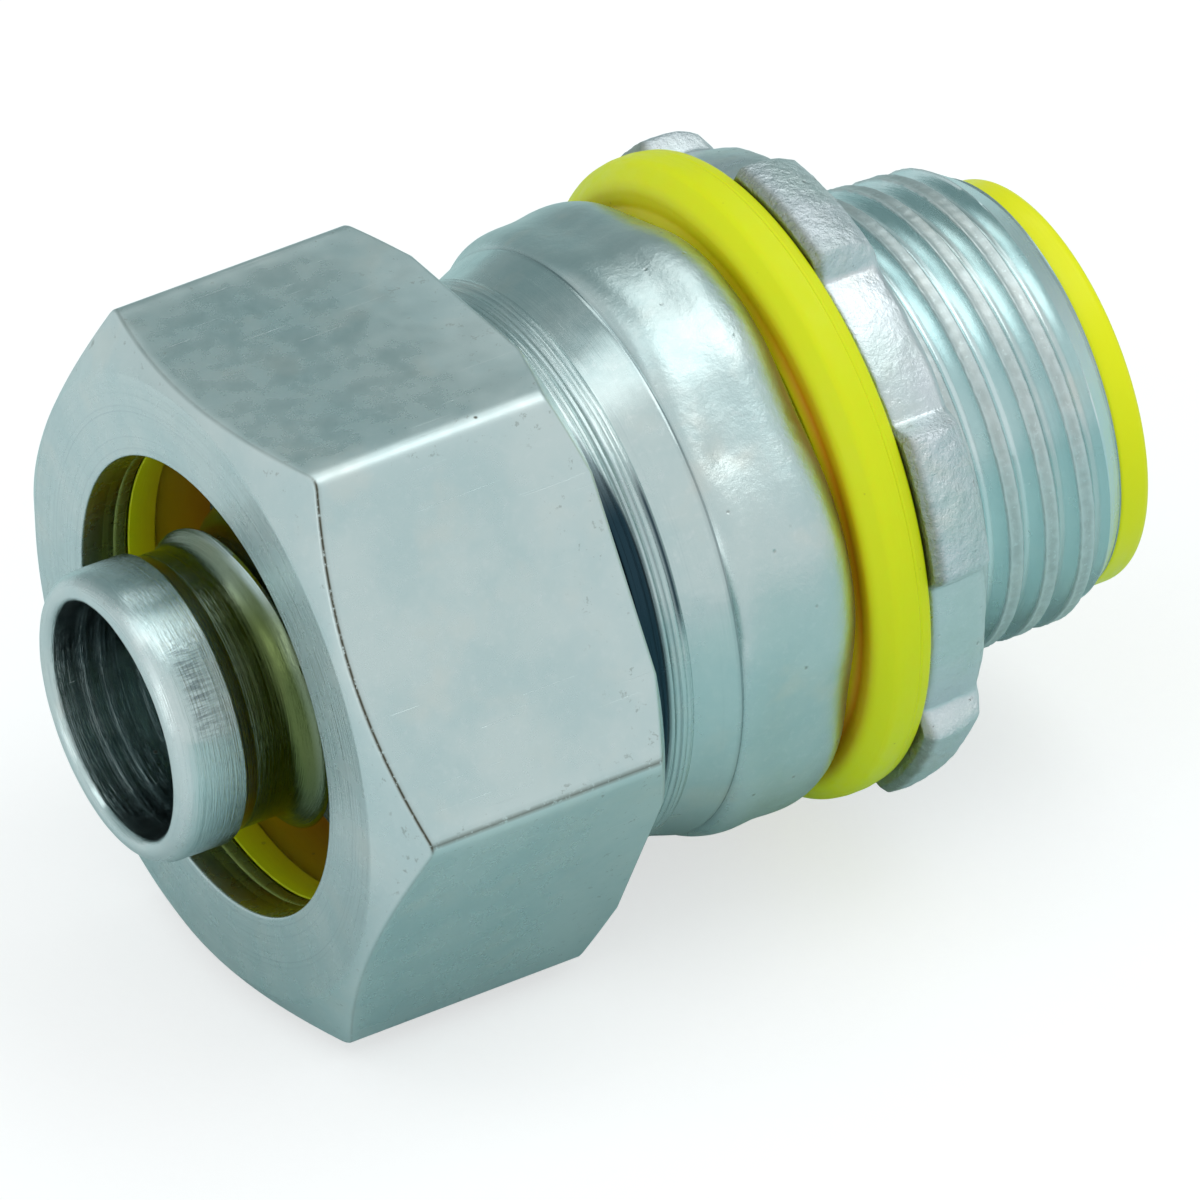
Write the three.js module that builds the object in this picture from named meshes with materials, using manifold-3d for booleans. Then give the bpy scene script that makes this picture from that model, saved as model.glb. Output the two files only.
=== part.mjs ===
// Straight liquid-tight conduit connector, trade size 1/2 in, built as the pieces it comes apart into.
// Lengths are millimetres. Each piece is turned about its own +Y, where "u" is the distance behind
// the gland nut's front face; the assembly group then lays that axis along +X and puts +Z up.

import * as THREE from "three";
import { mergeVertices } from "three/addons/utils/BufferGeometryUtils.js";
import Module from "manifold-3d";

const wasm = await Module();
wasm.setup();

// Driving dimensions: axial stations
const NUT_LENGTH = 13.8;
const NUT_WALL = 2.2; // depth of the conduit opening through the nut's front wall
const BODY_FRONT = 5.4; // front end of the body, inside the nut
const NECK_END = 15.9;
const CONE_START = 16.9;
const HEX_START = 18.5;
const HEX_END = 25.15;
const GASKET_START = 25.3;
const GASKET_END = 27.9;
const LOCKNUT_START = 27.95;
const LOCKNUT_END = 30.8;
const NIPPLE_END = 40.5;
const THROAT_END = 42.1;
const FERRULE_TIP = -4.6;
const FERRULE_SEAT = 10.8; // front of the ferrule's flange
const SOCKET_END = 14.2;

// Driving dimensions: radii
const NUT_FLAT = 14.5; // 29 mm across the nut's flats
const NUT_OPENING = 10.45; // 20.9 mm, for 1/2 in conduit of 20.8 mm outside diameter
const BODY_FLAT = 13.5; // 1-1/16 in across the body's flats
const BODY_CORNER = 14.7;
const NECK = 12.7;
const SOCKET = 11.0; // holds the ferrule's flange and the conduit's end
const WIREWAY = 8.05;
const RING_OUTER = 11.6;
const GASKET_INNER = 11.3;
const GASKET_OUTER = 14.5;
const LOCKNUT_LUG = 15.2;
const LOCKNUT_VALLEY = 14.0;
const LOCKNUT_MINOR = 9.98;
const THROAT_BORE = 7.4;
const THROAT_LIP = 9.6;
const THROAT_DEPTH = 6; // how far the throat insulator reaches into the nipple
const FERRULE_BORE = 5.4;
const FERRULE_TUBE = 6.25;
const FERRULE_NOSE = 6.6;
const FERRULE_FLANGE = 10.5;

// 1/2-14 taper pipe thread on the nipple: 25.4 / 14 pitch, 1 in 16 on diameter
const NIPPLE_THREAD = {
  pitch: 25.4 / 14,
  crest: 10.67,
  crestAt: 30,
  taper: 1 / 32,
  depth: 0.9,
  crestWidth: 0.7,
  flank: 0.5,
};
// 16 per inch straight thread between the body and the gland nut
const GLAND_THREAD = {
  pitch: 25.4 / 16,
  crest: NECK,
  crestAt: 0,
  taper: 0,
  depth: 0.85,
  crestWidth: 0.35,
  flank: 0.5,
};
const GLAND_RIDGE_START = 4.8; // where the gland thread's ridge passes angle 0
const GLAND_THREAD_END = 13.0;
const NIPPLE_THREAD_START = 25.1; // where the nipple's ridge passes angle 0
const BEAD_START = 1.2;
// The bead on the ferrule that screws into the conduit's bore
const BEAD = {
  pitch: 3.2,
  crest: 7.35,
  crestAt: 0,
  taper: 0,
  depth: 1.05,
  crestWidth: 0.9,
  flank: 0.5,
};
const THREAD_GAP = 0.12; // play between matching flanks
const FIT_GAP = 0.05; // play between pieces that only touch
const SIDES = 24; // facets round every turned surface, and in one turn of every thread

// The ferrule is loose in the body's socket, so its nose leans a little to one side.
const FERRULE_TILT = THREE.MathUtils.degToRad(1.5);
const FERRULE_TILT_AXIS = THREE.MathUtils.degToRad(143.6);
const FERRULE_PIVOT = 11.6;

const LUGS = 6;
const LUG_ANGLE = THREE.MathUtils.degToRad(28);
const FIRST_LUG = THREE.MathUtils.degToRad(10);

const zincSteel = (color) =>
  new THREE.MeshStandardMaterial({ color, roughness: 0.32, metalness: 0.95 });
const yellowPlastic = () =>
  new THREE.MeshStandardMaterial({ color: 0xd6e021, roughness: 0.45, metalness: 0 });

// A closed three.js geometry as a manifold-3d solid.
function solid(geometry) {
  const bare = geometry.clone();
  bare.deleteAttribute("normal");
  bare.deleteAttribute("uv");
  const merged = mergeVertices(bare, 1e-4);
  return new wasm.Manifold(
    new wasm.Mesh({
      numProp: 3,
      vertProperties: merged.attributes.position.array,
      triVerts: new Uint32Array(merged.index.array),
    }),
  );
}

function geometryOf(made) {
  const mesh = made.getMesh();
  const geometry = new THREE.BufferGeometry();
  geometry.setAttribute("position", new THREE.BufferAttribute(mesh.vertProperties, 3));
  geometry.setIndex(new THREE.BufferAttribute(mesh.triVerts, 1));
  const flat = geometry.toNonIndexed();
  flat.computeVertexNormals();
  return flat;
}

// Turns an outline of [radius, u] points, listed anticlockwise, about the axis.
function turned(outline, sides = SIDES, start = 0) {
  const points = outline.map(([r, u]) => new THREE.Vector2(r, u));
  return solid(new THREE.LatheGeometry(points, sides, start));
}

// A turned piece that is solid to the axis.
function turnedBar(outline) {
  const first = outline[0];
  const last = outline[outline.length - 1];
  return turned([[0, first[1]], ...outline, [0, last[1]]]);
}

// A turned piece with a hole through it.
function turnedRing(outline) {
  return turned([...outline, outline[0]]);
}

// A six-sided bar with its flats at the given distance, the first one facing angle "turn".
function hexBar(flat, from, to, turn) {
  const corner = flat / Math.cos(Math.PI / 6);
  const outline = [
    [0, from],
    [corner, from],
    [corner, to],
    [0, to],
  ];
  return turned(outline, 6, turn + Math.PI / 6);
}

const arc = (r, u, radius, fromDeg, toDeg, steps) =>
  Array.from({ length: steps + 1 }, (_, i) => {
    const a = THREE.MathUtils.degToRad(fromDeg + ((toDeg - fromDeg) * i) / steps);
    return [r + radius * Math.cos(a), u + radius * Math.sin(a)];
  });

const crestAt = (thread, u) => thread.crest - (u - thread.crestAt) * thread.taper;
const rootAt = (thread, u) => crestAt(thread, u) - thread.depth;

// The ridge of a right-hand thread, from below its root to "over" above its crest, "gap" wider each side.
function threadRidge(thread, from, turns, over, gap, under = 0.1) {
  const steps = Math.round(turns * SIDES);
  const position = [];
  const section = (u, angle) => {
    const crest = crestAt(thread, u);
    const width = (r) => thread.crestWidth / 2 + gap + (crest - r) * thread.flank;
    const low = crest - thread.depth - under;
    const high = crest + over;
    const corners = [
      [low, -width(low)],
      [high, -width(high)],
      [high, width(high)],
      [low, width(low)],
    ];
    return corners.map(([r, du]) => [r * Math.sin(angle), u + du, r * Math.cos(angle)]);
  };
  for (let i = 0; i <= steps; i++) {
    const angle = (2 * Math.PI * i) / SIDES;
    position.push(...section(from + (thread.pitch * i) / SIDES, angle));
  }
  const index = [];
  for (let i = 0; i < steps; i++)
    for (let k = 0; k < 4; k++) {
      const a = 4 * i + k;
      const b = 4 * i + ((k + 1) % 4);
      index.push(a, b + 4, b, a, a + 4, b + 4);
    }
  const end = 4 * steps;
  index.push(0, 1, 2, 0, 2, 3, end, end + 2, end + 1, end, end + 3, end + 2);
  const geometry = new THREE.BufferGeometry();
  geometry.setAttribute("position", new THREE.Float32BufferAttribute(position.flat(), 3));
  geometry.setIndex(index);
  return solid(geometry);
}

function glandNut() {
  const faceRadius = NUT_FLAT - 0.6;
  const chamferWidth = 3.4;
  const frontChamfer = 1.85; // radial run of the front chamfer for each unit of depth
  const backChamfer = 0.7;
  const outside = [
    [NUT_OPENING - 1, 0],
    [faceRadius, 0],
    [faceRadius + chamferWidth, chamferWidth / frontChamfer],
    [faceRadius + chamferWidth, NUT_LENGTH - chamferWidth * backChamfer],
    [faceRadius + 0.9, NUT_LENGTH],
    [NUT_OPENING - 1, NUT_LENGTH],
  ];
  const bore = GLAND_THREAD.crest - 0.62;
  const skirt = GLAND_THREAD.crest + 0.25;
  const cavity = RING_OUTER + 0.15;
  const skirtStart = 12.0; // the thread's end, under a plain skirt
  const inside = [
    [NUT_OPENING, -1],
    [NUT_OPENING, NUT_WALL],
    [cavity, NUT_WALL + 1.4],
    [cavity, BODY_FRONT - 0.9],
    [bore, BODY_FRONT - 0.6],
    [bore, skirtStart],
    [skirt, skirtStart + 0.5],
    [skirt, NUT_LENGTH + 1],
  ];
  return hexBar(NUT_FLAT, 0, NUT_LENGTH, 0)
    .intersect(turnedBar(outside))
    .subtract(turnedBar(inside))
    .subtract(threadRidge(GLAND_THREAD, GLAND_RIDGE_START, 5.3, 0.15, THREAD_GAP, -0.15));
}

function compressionRing() {
  const inner = NUT_OPENING + 0.03;
  const front = NUT_WALL + 0.36; // clear of the nut's cone however the two are turned
  const back = BODY_FRONT + 1.35;
  return turnedRing([
    [inner, front + 0.1],
    [inner + 0.12, front],
    [RING_OUTER, front + 1.2],
    [RING_OUTER, BODY_FRONT - 0.1],
    [SOCKET - 0.1, back],
    [inner + 0.15, back],
  ]);
}

function ferrule() {
  const back = FERRULE_SEAT + 1.2;
  const noseEnd = FERRULE_TIP + 3.2;
  const tube = turnedRing([
    [FERRULE_BORE, FERRULE_TIP + 0.6],
    [FERRULE_BORE + 0.2, FERRULE_TIP + 0.12],
    [FERRULE_BORE + 0.55, FERRULE_TIP],
    [FERRULE_NOSE - 0.4, FERRULE_TIP + 0.25],
    [FERRULE_NOSE, FERRULE_TIP + 0.9],
    [FERRULE_NOSE, noseEnd],
    [FERRULE_TUBE, noseEnd + 0.7],
    [FERRULE_TUBE, FERRULE_SEAT - 0.5],
    [FERRULE_TUBE + 0.5, FERRULE_SEAT],
    [FERRULE_FLANGE, FERRULE_SEAT],
    [FERRULE_FLANGE, back],
    [FERRULE_BORE + 0.6, back],
    [FERRULE_BORE, back - 0.6],
  ]);
  return tube.add(threadRidge(BEAD, BEAD_START, 2.5, 0, 0));
}

function nippleEnvelope() {
  const start = HEX_END - 0.6;
  const chamfer = NIPPLE_END - 0.9;
  const clear = NIPPLE_THREAD.crest + 1;
  return turnedRing([
    [WIREWAY + 0.5, start],
    [clear, start],
    [clear, chamfer - (clear - crestAt(NIPPLE_THREAD, chamfer))],
    [rootAt(NIPPLE_THREAD, NIPPLE_END), NIPPLE_END],
    [WIREWAY + 0.5, NIPPLE_END],
  ]);
}

function glandEnvelope() {
  const low = SOCKET + 0.4;
  return turnedRing([
    [low, BODY_FRONT],
    [rootAt(GLAND_THREAD, 0), BODY_FRONT],
    [GLAND_THREAD.crest + 0.6, BODY_FRONT + 1.45],
    [GLAND_THREAD.crest + 0.6, GLAND_THREAD_END],
    [low, GLAND_THREAD_END],
  ]);
}

function body() {
  const glandRoot = rootAt(GLAND_THREAD, 0);
  const shoulder = 12.3; // the flange's plain back face ends here
  const rearRound = 2.4;
  const blank = turnedBar([
    [glandRoot, BODY_FRONT],
    [glandRoot, GLAND_THREAD_END],
    [NECK, GLAND_THREAD_END + 0.5],
    [NECK, NECK_END - 0.15],
    [NECK - 0.3, NECK_END],
    [NECK, NECK_END + 0.15],
    [NECK, CONE_START],
    [BODY_FLAT - 0.4, CONE_START + 0.8],
    [BODY_FLAT - 0.4, HEX_END - 2],
    [shoulder, HEX_END],
    [rootAt(NIPPLE_THREAD, HEX_END), HEX_END],
    [rootAt(NIPPLE_THREAD, NIPPLE_END), NIPPLE_END],
  ]);
  const flange = turnedBar([
    [NECK, CONE_START],
    [BODY_FLAT + 0.3, HEX_START - 0.3],
    [BODY_CORNER - 0.3, HEX_START + 0.9],
    [BODY_CORNER, HEX_START + 2.2],
    [BODY_CORNER, HEX_END - rearRound - 0.5],
    ...arc(BODY_CORNER - rearRound, HEX_END - rearRound, rearRound, 15, 90, 5),
  ]);
  const hex = hexBar(BODY_FLAT, CONE_START, HEX_END, THREE.MathUtils.degToRad(15));
  const bevel = 1.3;
  const bores = turnedBar([
    [SOCKET + bevel * 0.55, BODY_FRONT - 0.01],
    [SOCKET, BODY_FRONT + bevel],
    [SOCKET, SOCKET_END],
    [WIREWAY, SOCKET_END + 0.8],
    [WIREWAY, NIPPLE_END + 1],
  ]);
  return blank
    .add(hex.intersect(flange))
    .add(threadRidge(NIPPLE_THREAD, NIPPLE_THREAD_START, 9, 0, 0).intersect(nippleEnvelope()))
    .add(threadRidge(GLAND_THREAD, GLAND_RIDGE_START, 5.5, 0, 0).intersect(glandEnvelope()))
    .subtract(bores);
}

function sealingGasket() {
  const seat = GASKET_OUTER - 1.9; // the dished part that meets the flange
  const front = 1.0;
  const back = 0.7;
  return turnedRing([
    [GASKET_INNER, GASKET_END],
    [GASKET_INNER, GASKET_START],
    [seat, GASKET_START],
    [seat + 0.5, GASKET_START + 0.15],
    ...arc(GASKET_OUTER - front, GASKET_START + front, front, -70, 0, 4),
    ...arc(GASKET_OUTER - back, GASKET_END - back, back, 0, 80, 4),
    [GASKET_OUTER - 0.9, GASKET_END],
  ]);
}

function lockNut() {
  const thread = NIPPLE_THREAD;
  const lugRoot = LOCKNUT_VALLEY - 2; // inside the ring, where the lugs start
  const wide = crestAt(thread, LOCKNUT_START) + 0.15;
  const ring = turnedRing([
    [LOCKNUT_MINOR, LOCKNUT_END],
    [LOCKNUT_MINOR, LOCKNUT_START + 0.8],
    [wide, LOCKNUT_START],
    [LOCKNUT_VALLEY - 0.4, LOCKNUT_START],
    [LOCKNUT_VALLEY, LOCKNUT_START + 0.4],
    [LOCKNUT_VALLEY - 0.5, LOCKNUT_END - 0.6],
    [LOCKNUT_VALLEY - 1.4, LOCKNUT_END],
  ]);
  const lug = turned(
    [
      [lugRoot, LOCKNUT_START],
      [LOCKNUT_LUG - 0.3, LOCKNUT_START],
      [LOCKNUT_LUG, LOCKNUT_START + 0.4],
      [LOCKNUT_LUG - 0.3, LOCKNUT_END - 0.9],
      [LOCKNUT_LUG - 1.4, LOCKNUT_END],
      [lugRoot, LOCKNUT_END],
      [lugRoot, LOCKNUT_START],
    ],
    SIDES,
  );
  let teeth = ring;
  for (let i = 0; i < LUGS; i++) {
    const middle = FIRST_LUG + (i * 2 * Math.PI) / LUGS;
    teeth = teeth.add(lug.intersect(sector(middle, LUG_ANGLE)));
  }
  const straight = { ...thread, taper: 0, crest: wide - 0.1 };
  // whole turns on from the start of the nipple's ridge, so that the two threads mesh
  const grooveStart = NIPPLE_THREAD_START + thread.pitch;
  const groove = threadRidge(straight, grooveStart, 2.6, 0.15, THREAD_GAP, -0.06);
  return teeth.subtract(groove);
}

// A wedge of the locknut's blank that stands for one lug.
function sector(middle, width) {
  const reach = LOCKNUT_LUG + 2;
  const shape = new THREE.Shape();
  shape.moveTo(0, 0);
  shape.lineTo(reach * Math.sin(middle - width / 2), reach * Math.cos(middle - width / 2));
  shape.lineTo(reach * Math.sin(middle + width / 2), reach * Math.cos(middle + width / 2));
  shape.closePath();
  const depth = LOCKNUT_END - LOCKNUT_START;
  const wedge = new THREE.ExtrudeGeometry(shape, { depth, bevelEnabled: false });
  wedge.rotateX(Math.PI / 2);
  wedge.translate(0, LOCKNUT_END, 0);
  return solid(wedge);
}

function insulatedThroat() {
  const sleeve = WIREWAY - 0.03;
  const lip = NIPPLE_END + FIT_GAP;
  return turnedRing([
    [THROAT_BORE, THROAT_END - 0.6],
    [THROAT_BORE, NIPPLE_END - THROAT_DEPTH],
    [sleeve, NIPPLE_END - THROAT_DEPTH],
    [sleeve, lip],
    [THROAT_LIP - 0.5, lip],
    [THROAT_LIP, lip + 0.35],
    [THROAT_LIP - 0.25, THROAT_END - 0.2],
    [THROAT_LIP - 0.8, THROAT_END],
    [THROAT_BORE + 0.7, THROAT_END],
  ]);
}

function piece(name, made, material) {
  const mesh = new THREE.Mesh(geometryOf(made), material);
  mesh.name = name;
  return mesh;
}

const looseFerrule = new THREE.Group();
looseFerrule.position.y = FERRULE_PIVOT;
const tiltAxis = new THREE.Vector3(Math.sin(FERRULE_TILT_AXIS), 0, Math.cos(FERRULE_TILT_AXIS));
looseFerrule.quaternion.setFromAxisAngle(tiltAxis, FERRULE_TILT);
const ferruleMesh = piece("ferrule", ferrule(), zincSteel(0xb4c0c2));
ferruleMesh.position.y = -FERRULE_PIVOT;
looseFerrule.add(ferruleMesh);

const assembly = new THREE.Group();
assembly.add(
  piece("gland_nut", glandNut(), zincSteel(0xb9c5c6)),
  piece("compression_ring", compressionRing(), yellowPlastic()),
  looseFerrule,
  piece("body", body(), zincSteel(0xbcc8ca)),
  piece("sealing_gasket", sealingGasket(), yellowPlastic()),
  piece("locknut", lockNut(), zincSteel(0xbecacb)),
  piece("insulated_throat", insulatedThroat(), yellowPlastic()),
);
assembly.rotation.z = -Math.PI / 2;

// The origin is on the axis, half way along the fitting's overall length.
const reach = new THREE.Box3().setFromObject(assembly, true);
assembly.position.x = -(reach.min.x + reach.max.x) / 2;

const fitting = new THREE.Group();
fitting.add(assembly);

export default fitting;
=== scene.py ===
"""Straight liquid-tight conduit connector, trade size 1/2 in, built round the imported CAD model.

Every piece is a mesh of columns, one for each angle round the fitting's axis. Lengths in this
file are millimetres unless a name says otherwise; "u" is the distance behind the gland nut's
front face, and "phi" is the angle from the top, right-handed about the axis.
"""

import math

import bmesh
import bpy
import numpy as np
from mathutils import Matrix, Vector, noise


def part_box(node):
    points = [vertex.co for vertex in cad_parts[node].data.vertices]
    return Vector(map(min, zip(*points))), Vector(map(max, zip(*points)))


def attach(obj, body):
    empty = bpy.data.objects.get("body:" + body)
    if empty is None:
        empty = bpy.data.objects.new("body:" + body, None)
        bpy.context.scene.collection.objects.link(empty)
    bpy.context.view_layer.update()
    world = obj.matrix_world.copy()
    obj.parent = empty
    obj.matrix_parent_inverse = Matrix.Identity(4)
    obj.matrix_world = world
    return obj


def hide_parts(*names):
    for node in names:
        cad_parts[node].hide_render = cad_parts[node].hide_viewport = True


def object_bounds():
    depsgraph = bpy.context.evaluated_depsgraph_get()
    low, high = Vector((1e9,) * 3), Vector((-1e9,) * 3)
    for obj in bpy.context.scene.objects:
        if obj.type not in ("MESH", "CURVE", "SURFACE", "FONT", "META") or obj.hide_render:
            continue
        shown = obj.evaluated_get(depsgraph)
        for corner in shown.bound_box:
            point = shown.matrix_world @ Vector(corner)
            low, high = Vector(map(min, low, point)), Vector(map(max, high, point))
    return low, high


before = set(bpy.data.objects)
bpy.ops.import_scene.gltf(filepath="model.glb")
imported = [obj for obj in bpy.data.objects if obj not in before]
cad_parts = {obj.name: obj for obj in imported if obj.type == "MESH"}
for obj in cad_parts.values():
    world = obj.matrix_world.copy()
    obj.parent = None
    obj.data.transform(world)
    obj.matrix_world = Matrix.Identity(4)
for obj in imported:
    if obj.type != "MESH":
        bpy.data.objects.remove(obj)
cad_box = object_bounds()

MM = 0.001
TAU = 2 * math.pi
FRONT_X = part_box("gland_nut")[0][0] / MM
FLOOR_Z = cad_box[0][2]

# ---------------------------------------------------------------- sizes
# They are the CAD model's, apart from a few that fit the photo better by up to 0.55 mm.
NUT_LENGTH = 14.0
NUT_WALL = 2.2
NUT_FLAT = 14.5
NUT_OPENING = 10.45
GLAND_END = 12.0  # the end of the nut's thread
BODY_FRONT = 5.4
NECK = 12.7
CONE_START = 16.9
BODY_FLAT = 13.5
HEX_END = 25.15
SOCKET = 11.0
SOCKET_END = 14.2
WIREWAY = 8.05
GASKET_START = 25.2
GASKET_END = 28.05
GASKET_OUTER = 14.65
LOCKNUT_START = 28.1
LOCKNUT_END = 31.3
LOCKNUT_LUG = 15.1
LOCKNUT_VALLEY = 14.05
NIPPLE_END = 40.5
THROAT_END = 42.1
THROAT_LIP = 9.25
THROAT_BORE = 7.4
FERRULE_TIP = -4.6
FERRULE_PIVOT = 11.6
FERRULE_TILT = math.radians(1.5)
FERRULE_LEAN = Vector((0, 0.80, -0.60))  # the way its nose leans
FERRULE_BORE = 5.4
FERRULE_TUBE = 6.25
FERRULE_NOSE = 6.6
FERRULE_FLANGE = 10.5

# Behind the nut, the fitting sits a little off the nut's axis, towards OFF_PHI.
OFF_AXIS = 0.45
OFF_THROAT = -0.08  # the throat's collar is off the other way
OFF_START, OFF_FULL = 12, 28
OFF_FADE_START, OFF_FADE_END = 30, 40
OFF_PHI = math.radians(-36.4)
OFF_NODES = ("body", "sealing_gasket", "locknut", "insulated_throat")


# ---------------------------------------------------------------- mesh tools
def smooth(x, low, high):
    """0 below low, 1 above high, and smooth between them."""
    t = np.clip((x - low) / (high - low), 0, 1)
    return t * t * (3 - 2 * t)


def hump(x, centre, width):
    """1 at the centre, and almost 0 beyond twice the width."""
    return np.exp(-(((x - centre) / width) ** 2))


def even_columns(count):
    return np.linspace(0, TAU, count + 1)


def wrapped_degrees(phi):
    """The angle in degrees, between -90 and 270."""
    return np.mod(np.degrees(phi) + 90, 360) - 90


def hex_columns(turn, corner_share=0.3, flat_steps=12, corner_steps=14):
    """Angles that are close together at the six corners of a hexagon turned by an angle."""
    half = math.pi / 6
    bend = half * (1 - corner_share)
    side = np.concatenate(
        [
            np.linspace(0, bend, flat_steps, endpoint=False),
            np.linspace(bend, half, corner_steps + 1),
        ]
    )
    sector = np.concatenate([-side[:0:-1], side])[:-1]
    phi = np.concatenate([turn + k * math.pi / 3 + sector for k in range(6)])
    phi = np.sort(np.mod(phi, TAU))
    if phi[0] > 1e-9:
        phi = np.concatenate([[0.0], phi])
    return np.concatenate([phi, [TAU]])


def hex_radius(phi, flat, corner, turn=0.0):
    """Radius of a hexagon whose corners are rounded, at each angle."""
    half = math.pi / 6
    off = np.abs(np.mod(phi - turn + half, 2 * half) - half)
    centre = (flat - corner) / math.cos(half)
    bend = math.atan2((flat - corner) * math.tan(half), flat)
    beta = half - off
    under = np.maximum(corner**2 - (centre * np.sin(beta)) ** 2, 0)
    return np.where(off < bend, flat / np.cos(off), centre * np.cos(beta) + np.sqrt(under))


class Outline:
    """The outline of a section, as rows of (u, r) that may differ from column to column."""

    def __init__(self, phi):
        self.phi = phi
        self.items = []

    def row(self, value):
        return np.broadcast_to(np.asarray(value, float), self.phi.shape)

    def corner(self, u, r, radius=0.12, steps=5):
        self.items.append((self.row(u), self.row(r), radius, steps))
        return self

    def point(self, u, r):
        self.items.append((self.row(u), self.row(r), 0, 0))
        return self

    def points(self, rows):
        for u, r in rows:
            self.point(u, r)
        return self

    def arc(self, u, r, radius, start, end, steps, squash=1.0):
        """Points on a circle, scaled along the axis by squash.

        The angles are in degrees, 0 outwards and 90 towards the nipple.
        """
        for a in np.radians(np.linspace(start, end, steps + 1)):
            self.point(u + radius * math.sin(a) * squash, r + radius * math.cos(a))
        return self

    def rows(self):
        made = []
        count = len(self.items)
        for i, (u, r, radius, steps) in enumerate(self.items):
            here = np.stack([u, r])
            if not radius:
                made.append(here)
                continue
            before = np.stack(self.items[i - 1][:2]) - here
            after = np.stack(self.items[(i + 1) % count][:2]) - here
            long_a = np.maximum(np.linalg.norm(before, axis=0), 1e-9)
            long_b = np.maximum(np.linalg.norm(after, axis=0), 1e-9)
            way_a, way_b = before / long_a, after / long_b
            dot = np.clip((way_a * way_b).sum(axis=0), -0.9999, 0.9999)
            reach = radius / np.tan(np.arccos(dot) / 2)
            reach = np.minimum(reach, 0.42 * np.minimum(long_a, long_b))
            hold = 0.25 * reach
            start, end = here + way_a * reach, here + way_b * reach
            made.append(start + way_a * hold)
            for t in np.linspace(0, 1, steps + 1):
                made.append((1 - t) ** 2 * start + 2 * t * (1 - t) * here + t * t * end)
            made.append(end + way_b * hold)
        return np.stack(made)


def thread_rows(phi, start, end, pitch, origin, knots, depths, radius_of):
    """Rows that follow a right-hand thread; radius_of(u, depth) gives the radius there."""
    knots, depths = np.array(knots), np.array(depths)
    share = phi / TAU
    first = math.floor((start - origin) / pitch) - 1
    last = math.ceil((end - origin) / pitch) + 1
    rows = []
    for turn in range(first - 1, last + 1):
        for knot in knots[:-1]:
            u = np.clip(origin + pitch * (turn + share) + knot, start, end)
            at = (u - origin) / pitch - share
            offset = (at - np.round(at)) * pitch
            rows.append((u, radius_of(u, np.interp(offset, knots, depths))))
    return rows


def off_axis(node, u):
    """How far a piece sits off the nut's axis at u, towards OFF_PHI."""
    fade = 0.6 * smooth(u, OFF_FADE_START, OFF_FADE_END)
    off = OFF_AXIS * smooth(u, OFF_START, OFF_FULL) * (1 - fade)
    if node == "insulated_throat":
        off = off + (OFF_THROAT - off) * smooth(u, NIPPLE_END - 1, NIPPLE_END)
    return off


def build(name, outline, node, body, material, bend=None, masks=None, tilt=None):
    """Makes a piece's mesh from its outline, bends and tilts it, and ties it to the frame.

    bend(u, r, phi) gives new u and r, and masks(u, r, phi) gives the material's attributes.
    """
    phi = outline.phi
    rows = outline.rows()
    u, r = rows[:, 0, :], rows[:, 1, :]
    around = np.broadcast_to(phi, u.shape)
    if bend is not None:
        u, r = bend(u.copy(), r.copy(), around)
    count, columns = u.shape
    xyz = np.stack([u, -r * np.sin(around), r * np.cos(around)], axis=-1)
    if tilt is not None:
        flat = xyz.reshape(-1, 3) @ np.array(tilt.to_3x3()).T + np.array(tilt.translation)
        xyz = flat.reshape(xyz.shape)
    if node in OFF_NODES:
        off = off_axis(node, u)
        xyz[..., 1] -= off * math.sin(OFF_PHI)
        xyz[..., 2] += off * math.cos(OFF_PHI)
    xyz[..., 0] += FRONT_X
    index = np.arange(count * columns).reshape(count, columns)
    following = np.roll(index, -1, axis=0)
    quads = np.stack(
        [index[:, :-1], index[:, 1:], following[:, 1:], following[:, :-1]], axis=-1
    ).reshape(-1, 4)
    mesh = bpy.data.meshes.new(name)
    mesh.from_pydata((xyz.reshape(-1, 3) * MM).tolist(), [], quads.tolist())
    for key, value in (masks(u, r, around) if masks else {}).items():
        layer = mesh.attributes.new(key, "FLOAT", "POINT")
        layer.data.foreach_set("value", np.ascontiguousarray(value, np.float32).ravel())
    made = bmesh.new()
    made.from_mesh(mesh)
    bmesh.ops.remove_doubles(made, verts=made.verts, dist=2e-7)
    bmesh.ops.dissolve_degenerate(made, edges=made.edges, dist=1e-8)
    bmesh.ops.recalc_face_normals(made, faces=made.faces)
    made.to_mesh(mesh)
    made.free()
    mesh.polygons.foreach_set("use_smooth", [True] * len(mesh.polygons))
    mesh.set_sharp_from_angle(angle=math.radians(38))
    piece = bpy.data.objects.new(name, mesh)
    bpy.context.scene.collection.objects.link(piece)
    mesh.materials.append(material)
    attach(piece, body)
    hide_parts(node)
    return piece


def fractal(u, r, phi, scale, octaves=4):
    """Noise in space at each point, about -1 to 1."""
    flat = np.stack([u, -r * np.sin(phi), r * np.cos(phi)], axis=-1).reshape(-1, 3) * scale
    values = [noise.fractal(Vector(p), 1.0, 2.0, octaves) for p in flat.tolist()]
    return np.array(values).reshape(u.shape)


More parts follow.
